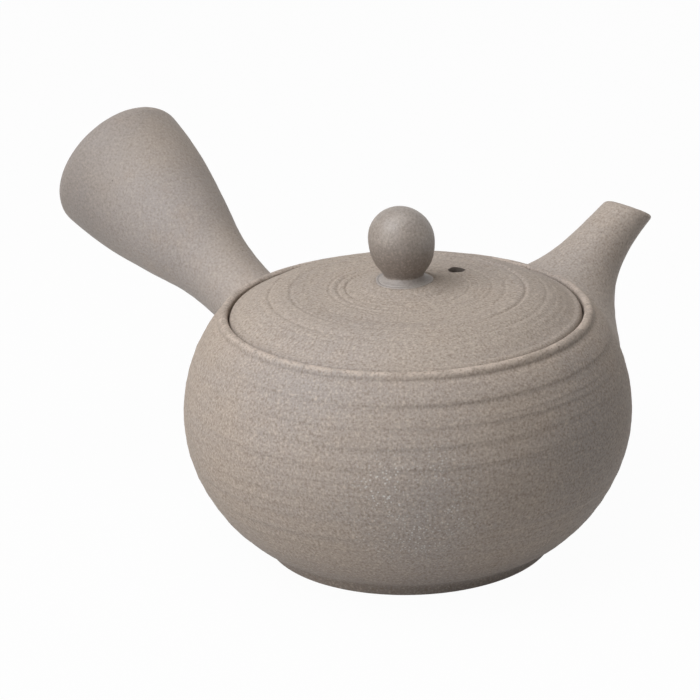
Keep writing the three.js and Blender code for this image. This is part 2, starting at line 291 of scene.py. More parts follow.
def fired_clay(name, warm, cool, wheel_marks, roughness, gloss, grain=1.0, circles=False,
               highlight_and_wear_above=None, painted_shade_below=None, bare=None, painted_shade_at=None, painted_shade_reach=None):
    """Unglazed stoneware: cloudy warm and cool patches, sand, and fine marks from the wheel.

    Over the height highlight_and_wear_above the clay is paler in patches: partly a worn pale edge,
    partly a painted highlight on the rim's crest. smoked holds two heights of painted shade: at the
    first the clay begins to darken and grey, and at the second it is darkest. Round the place bare,
    pale sand lies open in the skin. Round the place stained the clay is darkened with painted
    shade, most of all within the first distance of stain, not at all beyond the second, and by the
    share that comes third. Places, heights and distances are in metres."""
    clay = bpy.data.materials.new(name)
    clay.use_nodes = True
    tree = clay.node_tree
    shader = tree.nodes["Principled BSDF"]
    place = tree.nodes.new("ShaderNodeTexCoord").outputs["Object"]

    def node(kind, **settings):
        made = tree.nodes.new(kind)
        for key, value in settings.items():
            setattr(made, key, value)
        return made

    def join(socket, value):
        if isinstance(value, bpy.types.NodeSocket):
            tree.links.new(value, socket)
        else:
            socket.default_value = value

    def cloud(scale, detail, harshness=0.55, at=place):
        noise = node("ShaderNodeTexNoise")
        join(noise.inputs["Vector"], at)
        join(noise.inputs["Scale"], scale)
        join(noise.inputs["Detail"], detail)
        join(noise.inputs["Roughness"], harshness)
        return noise.outputs["Fac"]

    def between(value, low, high, start=0.0, end=1.0):
        remap = node("ShaderNodeMapRange", interpolation_type="SMOOTHSTEP")
        for socket, amount in zip(remap.inputs, (value, low, high, start, end)):
            join(socket, amount)
        return remap.outputs["Result"]

    def mixed(share, first, second):
        mix = node("ShaderNodeMix", data_type="RGBA")
        join(mix.inputs["Factor"], share)
        join(mix.inputs["A"], first)
        join(mix.inputs["B"], second)
        return mix.outputs["Result"]

    def worked_out(operation, first, second):
        maths = node("ShaderNodeMath", operation=operation)
        join(maths.inputs[0], first)
        join(maths.inputs[1], second)
        return maths.outputs[0]

    def vector(operation, *values):
        maths = node("ShaderNodeVectorMath", operation=operation)
        for socket, value in zip(maths.inputs, values):
            join(socket, value)
        return maths.outputs["Value" if operation in ("LENGTH", "DISTANCE") else "Vector"]

    def specks(per_metre, size, share, shift):
        """Scattered round specks: a share of the cells holds one, size is a share of the cell."""
        cells = node("ShaderNodeTexVoronoi", feature="F1")
        join(cells.inputs["Vector"], vector("ADD", place, (shift, shift * 0.7, shift * 1.3)))
        join(cells.inputs["Scale"], per_metre)
        spot = between(cells.outputs["Distance"], size, size * 0.4)
        pick = node("ShaderNodeSeparateColor")
        join(pick.inputs["Color"], cells.outputs["Color"])
        chosen = between(pick.outputs["Red"], 1 - share, 1 - share + 0.01)
        return worked_out("MULTIPLY", spot, chosen)

    def shaded(tone, red, green, blue):
        return (tone[0] * red, tone[1] * green, tone[2] * blue, 1)

    # Patches that the fire left, cooler or more ochre, from a thumb's width to a hand's
    colour = mixed(between(cloud(19, 4, 0.6), 0.34, 0.66), warm + (1,), cool + (1,))
    ochre = between(cloud(75, 4, 0.65), 0.48, 0.8, 0.0, 0.4)
    colour = mixed(ochre, colour, shaded(warm, 1.05, 0.98, 0.9))
    height = node("ShaderNodeSeparateXYZ")
    join(height.inputs[0], place)
    # Paler over a height: partly a worn pale edge, partly a painted highlight on the rim's crest
    if highlight_and_wear_above:
        crest = between(height.outputs["Z"], highlight_and_wear_above, highlight_and_wear_above + 0.0012)
        painted_highlight_and_wear = worked_out("MULTIPLY", crest, between(cloud(190, 5, 0.75), 0.44, 0.58, 0.05, 0.9))
        colour = mixed(painted_highlight_and_wear, colour, shaded(warm, 1.43, 1.44, 1.47))
    # Painted shade: darker and greyer below a height
    if painted_shade_below:
        painted_low_shade = between(height.outputs["Z"], painted_shade_below[0], painted_shade_below[1], 0.0, 0.43)
        colour = mixed(painted_low_shade, colour, shaded(cool, 0.55, 0.54, 0.57))

    # Marks that the wheel draws: level round the pot, or in circles on the lid
    if circles:
        out = node("ShaderNodeCombineXYZ")
        join(out.inputs["Z"], vector("LENGTH", vector("MULTIPLY", place, (1, 1, 0))))
        marks_at = vector("MULTIPLY_ADD", place, (0.04, 0.04, 0.04), out.outputs["Vector"])
    else:
        marks_at = vector("MULTIPLY", place, (0.05, 0.05, 1))
    fine_marks = cloud(1100, 4, 0.65, marks_at)
    broad_marks = cloud(260, 2, 0.5, marks_at)
    fine_share = between(fine_marks, 0.4, 0.72, 0.0, wheel_marks)
    broad_share = between(broad_marks, 0.45, 0.7, 0.0, wheel_marks)
    colour = mixed(fine_share, colour, shaded(warm, 0.7, 0.68, 0.66))
    colour = mixed(broad_share, colour, shaded(cool, 0.86, 0.87, 0.9))

    # Sand: a fine pepper of browner and paler grains, then single pale grains and iron spots
    sand = cloud(1550, 2, 0.6)
    brown_sand = between(sand, 0.5, 0.32, 0.0, 0.64 * grain)
    pale_sand = between(sand, 0.52, 0.7, 0.0, 0.6 * grain)
    colour = mixed(brown_sand, colour, shaded(warm, 0.58, 0.54, 0.5))
    colour = mixed(pale_sand, colour, shaded(warm, 1.42, 1.42, 1.4))
    quartz = specks(1150, 0.36, 0.75, 1.0)
    quartz_colour = (0.72, 0.71, 0.69, 1)
    if bare:
        near = between(vector("DISTANCE", place, bare), 0.024, 0.01)
        near = worked_out("MULTIPLY", near, between(cloud(90, 3), 0.35, 0.6, 0.35, 0.9))
        quartz = worked_out("MULTIPLY", quartz, worked_out("MAXIMUM", near, 0.1))
    else:
        quartz = worked_out("MULTIPLY", quartz, 0.1)
    colour = mixed(worked_out("MULTIPLY", quartz, 0.75 * grain), colour, quartz_colour)
    iron = specks(430, 0.13, 0.12, 3.0)
    iron_colour = (0.1, 0.08, 0.068, 1)
    colour = mixed(worked_out("MULTIPLY", iron, 0.6), colour, iron_colour)
    # Painted shade: darker round a place
    if painted_shade_at:
        away = vector("DISTANCE", vector("MULTIPLY", place, (1, 1, 0)), painted_shade_at)
        painted_shade_share = between(away, painted_shade_reach[1], painted_shade_reach[0], 0.0, painted_shade_reach[2])
        colour = mixed(painted_shade_share, colour, shaded(warm, 0.12, 0.11, 0.11))
    join(shader.inputs["Base Color"], colour)

    # The same grain and marks in relief, with a pit at each iron spot
    relief = cloud(1700, 4, 0.7)
    relief = worked_out("ADD", relief, worked_out("MULTIPLY", fine_marks, wheel_marks * 3))
    relief = worked_out("ADD", relief, worked_out("MULTIPLY", broad_marks, wheel_marks * 4))
    relief = worked_out("SUBTRACT", relief, worked_out("MULTIPLY", iron, 0.4))
    bump = node("ShaderNodeBump")
    join(bump.inputs["Strength"], 0.5)
    join(bump.inputs["Distance"], 0.000065 * grain)
    join(bump.inputs["Height"], relief)
    join(shader.inputs["Normal"], bump.outputs["Normal"])
    join(shader.inputs["Roughness"], roughness)
    join(shader.inputs["Specular IOR Level"], gloss)
    return clay


# The foot is darkened with painted shade.
# The rim's crest is paler: partly a worn pale edge, partly a painted highlight.
thrown_clay = fired_clay("thrown_clay", warm=(0.408, 0.34, 0.286), cool=(0.372, 0.33, 0.304),
                         wheel_marks=0.22, roughness=0.76, gloss=0.34,
                         highlight_and_wear_above=0.0641, painted_shade_below=(0.0185, 0.002),
                         bare=(-0.0405, -0.0422, 0.0335))
pot_body.data.materials.append(thrown_clay)
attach(pot_body, "pot")
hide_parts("pot_body")


# Spout
# The spout is thrown as a small bell, bent and cut, then luted over a port in the belly. Its
# root is smoothed into the belly with a wet tool, close under the rim, so no seam is left.

SPOUT_AXIS = [(48.5, 44.0), (62.13, 48.96), (68.9, 62.4), (88.3, 72.4)]
SPOUT_WIDTHS = [31.0, 24.0, 15.6, 9.8, 7.5, 7.1]
SPOUT_HEIGHTS = [21.0, 17.4, 13.5, 9.8, 7.4, 6.4]
SPOUT_WALL = 2.4
SPOUT_FILLET = 5.0
SPOUT_SLANT = math.radians(34)

# Shares of the way along the spout: where its bore meets the port, where the slant of the mouth
# begins to show in its rings, and the mouth with its rounded lip
SPOUT_PORT, SPOUT_SLANT_FROM, SPOUT_MOUTH, SPOUT_LIP = 0.12, 0.6, 0.977, 0.02


def flowing(values, t):
    """A smooth curve through values at even steps of t from 0 to 1."""
    values = np.asarray(values, float)
    padded = np.concatenate([values[:1], values, values[-1:]])
    t = np.clip(np.asarray(t, float), 0, 1) * (len(values) - 1)
    k = np.minimum(t.astype(int), len(values) - 2)
    f = t - k
    a, b, c, d = padded[k], padded[k + 1], padded[k + 2], padded[k + 3]
    return 0.5 * (2 * b + (c - a) * f + (2 * a - 5 * b + 4 * c - d) * f ** 2
                  + (3 * b - a - 3 * c + d) * f ** 3)


def curved(points, t):
    """A curve that sets out for the second of four points and comes in from the third."""
    first, second, third, last = np.asarray(points, float)
    return ((1 - t) ** 3 * first + 3 * t * (1 - t) ** 2 * second
            + 3 * t * t * (1 - t) * third + t ** 3 * last)


def limb_rings(centre, slope, width, height, angle):
    """Oval rings whose centres lie in the XZ plane, x being the way out from the pot."""
    up = height[:, None] * np.cos(angle)
    side = width[:, None] * np.sin(angle)
    return np.stack([centre[:, :1] - up * np.sin(slope)[:, None], side,
                     centre[:, 1:] + up * np.cos(slope)[:, None]], axis=-1)


def spout_rings(t, inset, angle):
    """The spout's rings at shares t of its way out, as wide as its skin or inset from it."""
    t = np.asarray(t, float)
    root, first, second, tip = np.array(SPOUT_AXIS)
    s = t[:, None]
    along = (3 * (1 - s) ** 2 * (first - root) + 6 * s * (1 - s) * (second - first)
             + 3 * s * s * (tip - second))
    slope = np.arctan2(along[:, 1], along[:, 0])
    slant = np.clip((t - SPOUT_SLANT_FROM) / (1 - SPOUT_SLANT_FROM), 0, None) ** 2
    return limb_rings(curved(SPOUT_AXIS, s), slope + SPOUT_SLANT * slant,
                      flowing(SPOUT_WIDTHS, t) - inset, flowing(SPOUT_HEIGHTS, t) - inset, angle)


def luted(outside, turn, reach):
    """Joins a limb's skin to the belly with a smoothed fillet.

    outside holds the limb's skin from inside the pot to its tip, as if the limb stood where the
    spout is, and turn is how far round the pot it goes. Returns new rows that start just under
    the belly's skin, run out of it without an edge and follow the limb to its tip. The fillet
    spreads over the belly by reach, and by less close under the rim."""
    rows, columns = outside.shape[:2]
    rim_z, rim_r = RIM_TOP - 2.45, RIM_OUTER_R + 0.7

    def gap(points):
        angle = np.arctan2(points[..., 1], points[..., 0]) + turn
        height = points[..., 2]
        skin = np.where(height > rim_z, rim_r, belly_skin(np.minimum(height, rim_z), angle))
        return np.hypot(points[..., 0], points[..., 1]) - skin

    # Where each line of the skin leaves the belly, and the rest of it from there
    clear = gap(outside)
    new_rows = []
    for j in range(columns):
        line = outside[:, j]
        under = np.nonzero(clear[:, j] < 0)[0]
        k = int(under[-1])
        share = clear[k, j] / (clear[k, j] - clear[k + 1, j])
        meet = line[k] + share * (line[k + 1] - line[k])
        rest = np.vstack([meet[None], line[k + 1:]])
        steps = np.concatenate([[0], np.cumsum(np.linalg.norm(np.diff(rest, axis=0), axis=1))])
        new_rows.append((meet, rest, steps))

    # The way the belly faces there, and the way over it, away from the limb
    meets = np.array([row[0] for row in new_rows])
    around = np.roll(meets, -1, 0) - np.roll(meets, 1, 0)
    step = 0.05
    normal = np.zeros_like(meets)
    base = gap(meets)
    for axis in range(3):
        moved = meets.copy()
        moved[:, axis] += step
        normal[:, axis] = (gap(moved) - base) / step
    normal /= np.linalg.norm(normal, axis=1, keepdims=True)
    away = np.cross(around, normal)
    away /= np.linalg.norm(away, axis=1, keepdims=True)
    away *= np.sign(np.sum(away * (meets - meets.mean(0)), axis=1))[:, None]

    # The foot of the fillet, on the belly's skin, and a last row sunk under it
    room = np.clip((RIM_TOP - 2.9 - meets[:, 2]) / 6.0, 0.1, 1.0)
    beside = 7
    spread = np.hanning(2 * beside + 1)
    room = np.concatenate([room[-beside:], room, room[:beside]])
    size = reach * np.convolve(room, spread / spread.sum(), "valid")
    feet = meets + away * size[:, None]
    radial = np.hypot(feet[:, 0], feet[:, 1])
    feet[:, :2] *= ((radial - gap(feet)) / radial)[:, None]
    sunk = feet + away * 0.5 - normal * 0.35

    # Each line from the sunk row over the fillet and along the limb, in as many steps as before
    out = []
    bend = np.linspace(0, 1, 9)[:, None]
    for j, (meet, rest, steps) in enumerate(new_rows):
        start = np.array([np.interp(size[j], steps, rest[:, axis]) for axis in range(3)])
        fillet = (1 - bend) ** 2 * feet[j] + 2 * bend * (1 - bend) * meet + bend ** 2 * start
        marks = size[j] + (steps[-1] - size[j]) * np.linspace(0, 1, rows)[1:]
        body = np.stack([np.interp(marks, steps, rest[:, axis]) for axis in range(3)], -1)
        out.append(np.vstack([sunk[j][None], fillet, body]))
    return np.stack(out, axis=1)


spout_angle = np.linspace(0, 2 * np.pi, 200, endpoint=False)
spout_skin = spout_rings(np.linspace(0, SPOUT_MOUTH, 110), 0.0, spout_angle)
spout_skin = luted(spout_skin, turn=0.0, reach=SPOUT_FILLET)
lip_turn = np.linspace(0, np.pi, 9)[1:-1]
lip_rows = [spout_rings([SPOUT_MOUTH + SPOUT_LIP * math.sin(a)],
                        SPOUT_WALL / 2 * (1 - math.cos(a)), spout_angle) for a in lip_turn]
spout_bore = spout_rings(np.linspace(SPOUT_MOUTH, SPOUT_PORT, 60), SPOUT_WALL, spout_angle)
spout_grid = np.concatenate([spout_skin, *lip_rows, spout_bore])
still = np.ones(spout_grid.shape[:2])
still[:3] = 0
spout_grid = gritty(spout_grid, closed=True, seed=21, coarse=0.05, fine=0.02, keep=still)
spout = clay_piece("spout_clay", spout_grid[::-1], closed=True)
smoothed_clay = fired_clay("smoothed_clay", warm=(0.4, 0.338, 0.29), cool=(0.375, 0.328, 0.298),
                           wheel_marks=0.05, roughness=0.61, gloss=0.52, grain=0.9)
spout.data.materials.append(smoothed_clay)
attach(spout, "pot")
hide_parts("spout")


# Strainer
# A thin clay dome, pierced with a hollow needle while it is leather-hard, is luted inside the
# belly over the port. It keeps the leaves out of the spout.

STRAINER_R, STRAINER_RISE, STRAINER_WALL = 15.0, 9.0, 2.2
STRAINER_SKIRT, STRAINER_BED = 3.4, 0.4
STRAINER_HOLE_R, STRAINER_PITCH, STRAINER_RINGS = 1.1, 3.4, 3

dome_r = (STRAINER_R ** 2 + STRAINER_RISE ** 2) / (2 * STRAINER_RISE)
dome_middle = STRAINER_RISE - dome_r
dome_edge = math.degrees(math.acos(STRAINER_R / dome_r))
hollow_r = dome_r - STRAINER_WALL
skirt_inner_r = STRAINER_R - STRAINER_WALL
dome_profile = np.vstack([
    bow((0, dome_middle), dome_r, dome_r, 90, dome_edge, 22),
    evenly([(STRAINER_R, -0.5), (STRAINER_R, -STRAINER_SKIRT)], 0.8),
    evenly([(skirt_inner_r, -STRAINER_SKIRT), (skirt_inner_r, -0.5)], 0.8),
    bow((0, dome_middle), hollow_r, hollow_r, dome_edge, 90, 18),
])
dome_profile[0, 0] = dome_profile[-1, 0] = 0
dome_grid = turned(dome_profile, columns=96)[0]
dome_grid = gritty(dome_grid, closed=False, seed=31)

# It lies on its side, with its skirt bedded in the wall and its crown towards the pot's middle
dome_x = float(belly_radius(PORT_Z, POT_WALL)) - STRAINER_SKIRT + STRAINER_BED
dome_grid = np.stack([dome_x - dome_grid[..., 2], dome_grid[..., 1],
                      PORT_Z + dome_grid[..., 0]], axis=-1)
strainer = clay_piece("strainer_clay", dome_grid[::-1], closed=False)
dome_centre = Vector((dome_x - dome_middle, 0, PORT_Z))
needles = []
for ring in range(STRAINER_RINGS + 1):
    holes = max(1, 6 * ring)
    for i in range(holes):
        turn = 2 * math.pi * (i + (ring % 2) / 2) / holes
        lean = ring * STRAINER_PITCH / dome_r
        way = Vector((-math.cos(lean), math.sin(lean) * math.sin(turn),
                      math.sin(lean) * math.cos(turn)))
        needles.append(peg("needle", STRAINER_HOLE_R, dome_centre + way * (dome_r - 4.5),
                           dome_centre + way * (dome_r + 2), sides=14))
with bpy.context.temp_override(object=needles[0], active_object=needles[0],
                               selected_editable_objects=needles, selected_objects=needles):
    bpy.ops.object.join()
cut_through(strainer, needles[0])
strainer.data.materials.append(smoothed_clay)
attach(strainer, "pot")
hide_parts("strainer")


# Handle
# A hollow horn, thrown by itself and open at its end, is luted to the belly a quarter turn from
# the spout. Hands and a wet sponge make it smoother and slightly bluer than the pot.

HANDLE_START = np.array([50.0, 46.1])
HANDLE_RISE = math.radians(27.4)
HANDLE_LENGTH = 74.5
HANDLE_RADII = [11.8, 9.75, 10.9, 15.0, 18.75, 20.7]
HANDLE_WALL = 3.2
HANDLE_FILLET = 4.0
HANDLE_LIP_DEPTH = 6.08
HANDLE_MOUTH_R = 11.5
HANDLE_MOUTH_ROUND, HANDLE_MOUTH_DEPTH = 1.2, 1.3


def handle_rings(along, radius, angle):
    """The handle's rings at distances along its axis, as if it stood where the spout is."""
    along = np.atleast_1d(np.asarray(along, float))
    way = np.array([math.cos(HANDLE_RISE), math.sin(HANDLE_RISE)])
    centre = HANDLE_START + along[:, None] * way
    radius = np.broadcast_to(np.asarray(radius, float), along.shape)
    return limb_rings(centre, np.full(along.shape, HANDLE_RISE), radius, radius, angle)


handle_angle = np.linspace(0, 2 * np.pi, 230, endpoint=False)
outside_way = np.linspace(0, 1, 120)
handle_skin = handle_rings(HANDLE_LENGTH * outside_way, flowing(HANDLE_RADII, outside_way),
                           handle_angle)
handle_skin = luted(handle_skin, turn=math.pi / 2, reach=HANDLE_FILLET)

# The domed end: over it to the mouth, round the mouth's edge, back under it, and down the bore
end_r = float(flowing(HANDLE_RADII, 1.0))
tip = HANDLE_LENGTH + HANDLE_LIP_DEPTH
edge_r = HANDLE_MOUTH_R + HANDLE_MOUTH_ROUND
over = np.radians(np.linspace(0, 90, 16))[1:]
over_rows = handle_rings(HANDLE_LENGTH + HANDLE_LIP_DEPTH * np.sin(over),
                         edge_r + (end_r - edge_r) * np.cos(over), handle_angle)
edge = np.radians(np.linspace(90, 270, 8))[1:-1]
edge_rows = handle_rings(tip - HANDLE_MOUTH_DEPTH + HANDLE_MOUTH_DEPTH * np.sin(edge),
                         edge_r + HANDLE_MOUTH_ROUND * np.cos(edge), handle_angle)
under = np.radians(np.linspace(90, 0, 10))
under_rows = handle_rings(HANDLE_LENGTH + (HANDLE_LIP_DEPTH - HANDLE_WALL) * np.sin(under),
                          edge_r + (end_r - HANDLE_WALL - edge_r) * np.cos(under), handle_angle)
bore_way = np.linspace(0.985, 0.06, 60)
bore_rows = handle_rings(HANDLE_LENGTH * bore_way,
                         flowing(HANDLE_RADII, bore_way) - HANDLE_WALL, handle_angle)
handle_grid = np.concatenate([handle_skin, over_rows, edge_rows, under_rows, bore_rows])
still = np.ones(handle_grid.shape[:2])
still[:3] = 0
handle_grid = gritty(handle_grid, closed=True, seed=41, coarse=0.03, fine=0.012, keep=still)

# A quarter turn from the spout
handle_grid = np.stack([-handle_grid[..., 1], handle_grid[..., 0], handle_grid[..., 2]], axis=-1)
handle = clay_piece("handle_clay", handle_grid[::-1], closed=True)
# The end of the handle is darkened with painted shade.
sponged_clay = fired_clay("sponged_clay", warm=(0.368, 0.309, 0.262), cool=(0.343, 0.304, 0.283),
                          wheel_marks=0.03, roughness=0.62, gloss=0.56, grain=0.65,
                          painted_shade_at=(-0.016, 0.126, 0), painted_shade_reach=(0.014, 0.036, 0.24))
handle.data.materials.append(sponged_clay)
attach(handle, "pot")
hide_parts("handle")


# Lid
# The lid is thrown as a low dome with a flange under it, so that it drops on to the ledge and
# stays when the pot is tipped. Its rings show, and a steam hole is pierced on the spout's side.

LID_EDGE_R, LID_EDGE_Z, LID_EDGE_ROUND = 46.3, 64.6, 1.9
LID_HEIGHTS = [8.6, 9.0, 7.0, 6.7, 6.2, 5.75, 3.6, 0.0]
LID_THICK, LID_SEAT_R = 3.75, 8.3
LID_RING_R, LID_OFF_CENTRE = 8.8, 0.7
FLANGE_R, FLANGE_WALL, FLANGE_DEPTH, FLANGE_ROUND = 41.65, 3.0, 5.5, 0.8
STEAM_HOLE_R, STEAM_HOLE_X = 2.2, 19.2

# Radius of each ring on the lid, how high it stands (a groove is less than nought), its width,
# and the side of the lid, in degrees from the spout, where it is strongest
LID_RINGS = [
    (13.1, -0.05, 0.5, 140), (15.1, 0.03, 0.7, 140), (16.3, -0.36, 0.42, 170),
    (17.3, 0.09, 0.6, 150), (18.6, -0.21, 0.42, 160), (19.8, 0.07, 0.6, 150),
    (20.9, -0.17, 0.42, 140), (22.3, -0.14, 0.5, -45), (24.4, 0.05, 0.9, 0),
    (26.1, -0.10, 0.5, -60), (28.9, 0.02, 0.9, 120), (31.0, -0.38, 0.5, -45),
    (32.2, 0.08, 0.8, -45), (33.9, 0.04, 0.8, 160), (36.5, -0.27, 0.45, 170),
    (37.7, 0.07, 0.6, 175), (38.9, -0.09, 0.4, -100), (40.7, -0.12, 0.42, -140),
    (42.3, -0.03, 0.4, -75), (44.4, -0.05, 0.5, -70),
]


def crown(radius):
    """The height of the lid's top at a radius, beside the flat seat for the knob."""
    return LID_EDGE_Z + flowing(LID_HEIGHTS, radius / LID_EDGE_R)


seat_z = float(crown(LID_SEAT_R))
round_from_r = LID_EDGE_R - LID_EDGE_ROUND
round_z = float(crown(round_from_r)) - LID_EDGE_ROUND
flange_inner_r = FLANGE_R - FLANGE_WALL
flange_round_z = LEDGE_Z - FLANGE_DEPTH + FLANGE_ROUND
top_r = np.linspace(0, round_from_r, 260)
top_line = np.stack([top_r, np.where(top_r < LID_SEAT_R, seat_z, crown(top_r))], -1)
under_r = np.linspace(flange_inner_r - 0.6, 0, 40)
under_z = np.where(under_r < LID_SEAT_R, seat_z, crown(under_r)) - LID_THICK

# From the middle of the top over the round edge, in along the ledge, round the flange, and back
lid_profile = np.vstack([
    top_line,
    bow((round_from_r, round_z), LID_EDGE_ROUND, LID_EDGE_ROUND, 66, 0, 11),
    evenly([(LID_EDGE_R, LID_EDGE_Z - 1.5), (LID_EDGE_R, LEDGE_Z + 0.6)], 0.5),
    bow((LID_EDGE_R - 0.5, LEDGE_Z + 0.5), 0.5, 0.5, 0, -90, 5),
    evenly([(LID_EDGE_R - 1.1, LEDGE_Z), (FLANGE_R + 0.2, LEDGE_Z)], 0.9),
    evenly([(FLANGE_R, LEDGE_Z - 0.2), (FLANGE_R, flange_round_z + 0.1)], 0.8),
    bow((FLANGE_R - FLANGE_ROUND, flange_round_z), FLANGE_ROUND, FLANGE_ROUND, 0, -90, 5),
    bow((flange_inner_r + FLANGE_ROUND, flange_round_z), FLANGE_ROUND, FLANGE_ROUND, -90, -180, 5),
    evenly([(flange_inner_r, flange_round_z + 0.6), (flange_inner_r - 0.1, LEDGE_Z + 2.1)], 0.8),
    np.stack([under_r, under_z], -1),
])
lid_grid, lid_angle = turned(lid_profile, columns=520)
lid_radius = lid_profile[:, :1]
on_top = (np.arange(len(lid_profile)) < len(top_line))[:, None]
on_underside = (np.arange(len(lid_profile)) >= len(lid_profile) - len(under_r))[:, None]

# The rings were thrown a little off the middle, where the knob was set later
lid_rise = np.zeros((len(lid_profile), len(lid_angle)))
for n, (ring, stand, width, side) in enumerate(LID_RINGS):
    line = ring - 0.2 + LID_OFF_CENTRE * np.cos(lid_angle + math.radians(29))
    line = line + 0.12 * np.sin(2 * lid_angle + 2.1 * n) + 0.08 * np.sin(3 * lid_angle + n)
    strength = stand * (0.68 + 0.32 * np.cos(lid_angle - math.radians(side)))
    lid_rise += strength * np.exp(-((lid_radius - line) / width) ** 2)
lid_rise += SCORE_DEPTH * scored(lid_radius, lid_angle, lid_radius, seed=8)
past_ring = np.clip(lid_radius - LID_RING_R, 0, None)
before_edge = np.clip(LID_EDGE_R - 0.3 - lid_radius, 0, None)
lid_rise *= on_top * np.clip(past_ring / 1.5, 0, 1) * np.clip(before_edge / 0.8, 0, 1)
lid_grid[..., 2] += lid_rise - 0.1 * on_top * np.clip(past_ring / 3, 0, 1)
ripple = np.sin(lid_radius * 1.9 + lid_angle) * np.clip(lid_radius / 4, 0, 1)
lid_grid[..., 2] += 0.12 * on_underside * ripple
lid_keep = np.clip(lid_radius / 3, 0, 1) * np.ones_like(lid_rise)
lid_keep = lid_keep * np.where(on_top & (lid_radius > LID_RING_R), 1.0, 0.3)
lid_grid = gritty(lid_grid, closed=False, seed=51, keep=lid_keep)
lid = clay_piece("lid_clay", lid_grid[::-1], closed=False)
cut_through(lid, peg("steam_needle", STEAM_HOLE_R, (STEAM_HOLE_X, 0, LEDGE_Z - 1.5),
                     (STEAM_HOLE_X, 0, LEDGE_Z + 14.5)))
# The inside of the steam hole is darkened with painted shade.
ringed_clay = fired_clay("ringed_clay", warm=(0.42, 0.356, 0.304), cool=(0.392, 0.341, 0.308),
                         wheel_marks=0.22, roughness=0.78, gloss=0.32, circles=True,
                         painted_shade_at=(STEAM_HOLE_X * MM, 0, 0), painted_shade_reach=(0.0021, 0.0026, 0.97))
lid.data.materials.append(ringed_clay)
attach(lid, "lid")
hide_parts("lid")


# Knob
# The knob is turned as a small ball drawn in to a neck, and stuck with slip on the flat seat in
# the middle of the lid. It is the darkest clay, worn a little smoother by the fingers.

KNOB_R, KNOB_H, KNOB_NECK_R, KNOB_NECK_H = 8.7, 19.85, 5.4, 2.2
KNOB_ASIDE, KNOB_LEAN, KNOB_WAY = 0.3, 0.05, (-0.72, 0.69, 0.0)


def leaning(grid):
    """The knob was set a hair to one side of the middle and leans about three degrees that way."""
    over_neck = np.clip(grid[..., 2] - seat_z - KNOB_NECK_H, 0, None)
    return grid + (KNOB_ASIDE + KNOB_LEAN * over_neck)[..., None] * np.array(KNOB_WAY)


# The neck flares into the ball without an edge
neck_top_z = seat_z + KNOB_NECK_H
ball_z = seat_z + KNOB_H - KNOB_R
flare = [(KNOB_NECK_R, neck_top_z), (KNOB_NECK_R + 1.3, neck_top_z + 1.4),
         (KNOB_R, ball_z - 5), (KNOB_R, ball_z)]
knob_profile = np.vstack([
    [(0, seat_z), (2.5, seat_z)],
    evenly([(KNOB_NECK_R - 0.2, seat_z), (KNOB_NECK_R, neck_top_z - 0.3)], 0.5),
    curved(flare, np.linspace(0, 1, 40)[:, None]),
    bow((0, ball_z), KNOB_R, KNOB_R, 1, 90, 44),
])
knob_profile[-1, 0] = 0
knob_grid, knob_angle = turned(knob_profile, columns=150)
knob_keep = np.clip((knob_profile[:, 1:] - seat_z) / 2, 0, 1) * np.ones((1, len(knob_angle)))
knob_grid = gritty(knob_grid, closed=False, seed=61, coarse=0.03, fine=0.015, keep=knob_keep)
knob = clay_piece("knob_clay", leaning(knob_grid), closed=False)
# The knob's lower part is darkened with painted shade.
turned_clay = fired_clay("turned_clay", warm=(0.281, 0.234, 0.197), cool=(0.255, 0.225, 0.208),
                         wheel_marks=0.08, roughness=0.46, gloss=0.84, grain=0.9,
                         painted_shade_below=(0.0875, 0.0785))
knob.data.materials.append(turned_clay)
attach(knob, "lid")
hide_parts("knob")


# Slip ring
# The knob is sealed to the lid with thick, paler slip. A finger wipes it outwards, all round the
# neck, into a hollow slope with a thin and uneven edge, and leaves a line on one side.

SLIP_R, SLIP_H, SLIP_BED = 7.85, 2.4, 0.3

slip_profile = np.vstack([
    evenly([(KNOB_NECK_R - 0.3, seat_z - SLIP_BED), (SLIP_R - 0.4, seat_z - SLIP_BED)], 0.4),
    bow((SLIP_R - 0.4, seat_z), 0.4, 0.27, -60, 60, 6),
    bow((SLIP_R - 0.2, seat_z + SLIP_H), SLIP_R - KNOB_NECK_R, SLIP_H - 0.35, 262, 184, 28),
])
slip_grid, slip_angle = turned(slip_profile, columns=150)
slip_radius = slip_profile[:, :1]
on_slope = slip_profile[:, 1:] > seat_z + 0.3
uneven = 0.14 * np.sin(3 * slip_angle + 0.6) + 0.12 * np.sin(5 * slip_angle + 2.0)
outer = np.clip((slip_radius - KNOB_NECK_R - 0.2) / 1.9, 0, 1)
slip_grid[..., 0] -= outer * (0.3 + uneven) * np.cos(slip_angle)
slip_grid[..., 1] -= outer * (0.3 + uneven) * np.sin(slip_angle)
slip_grid[..., 2] += (1 - outer) * 0.5 * uneven
finger_line = np.exp(-((slip_radius - SLIP_R + 0.75) / 0.25) ** 2) * on_slope
slip_grid[..., 2] -= 0.3 * finger_line * np.clip(0.35 + 0.65 * np.cos(slip_angle - 2.9), 0, 1)
slip_grid = gritty(slip_grid, closed=True, seed=71, coarse=0.02, fine=0.01)
slip_ring = clay_piece("knob_slip_ring_clay", leaning(slip_grid), closed=True)
wiped_slip = fired_clay("wiped_slip", warm=(0.385, 0.346, 0.32), cool=(0.375, 0.35, 0.34),
                        wheel_marks=0.03, roughness=0.55, gloss=0.5, grain=0.5)
slip_ring.data.materials.append(wiped_slip)
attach(slip_ring, "lid")
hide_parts("knob_slip_ring")


# Table, light and camera
# A white sheet under the pot and a white studio round it. One large soft lamp is high on the
# camera's left and a weaker one overhead, and three weak ones stand low at the left, in front
# and at the right. The camera looks down a little at the pot's shoulder. Places are in metres.

